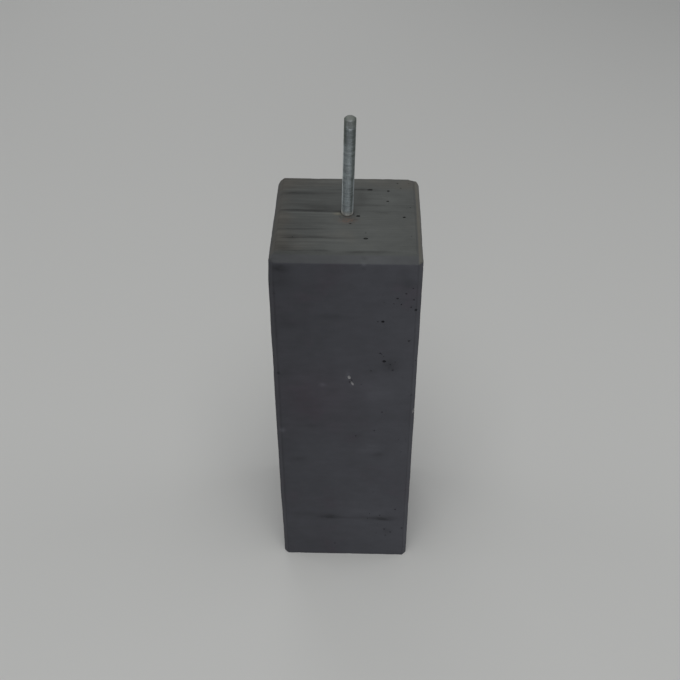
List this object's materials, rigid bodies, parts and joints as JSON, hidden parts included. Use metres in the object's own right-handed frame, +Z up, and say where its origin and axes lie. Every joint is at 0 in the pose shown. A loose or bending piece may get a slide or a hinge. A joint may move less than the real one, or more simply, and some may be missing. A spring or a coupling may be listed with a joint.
{
  "type": "column base block",
  "caption": "Square cast concrete pier block with chamfered top edges and a threaded steel stud cast into its top, to carry the foot of a post or column.",
  "frame": {"origin": "centre of the square underside, on the surface the block stands on", "axes": "+Z up along the block and its stud, -Y towards the viewer in the picture (the front face), +X to the right of the front face"},
  "size_m": [0.2, 0.2, 0.7421],
  "materials": {
    "concrete": "matte",
    "zinc_plated_steel": "satin"
  },
  "bodies": {
    "root": {"concrete_block": "concrete", "threaded_stud": "zinc_plated_steel"}
  },
  "joints": []
}
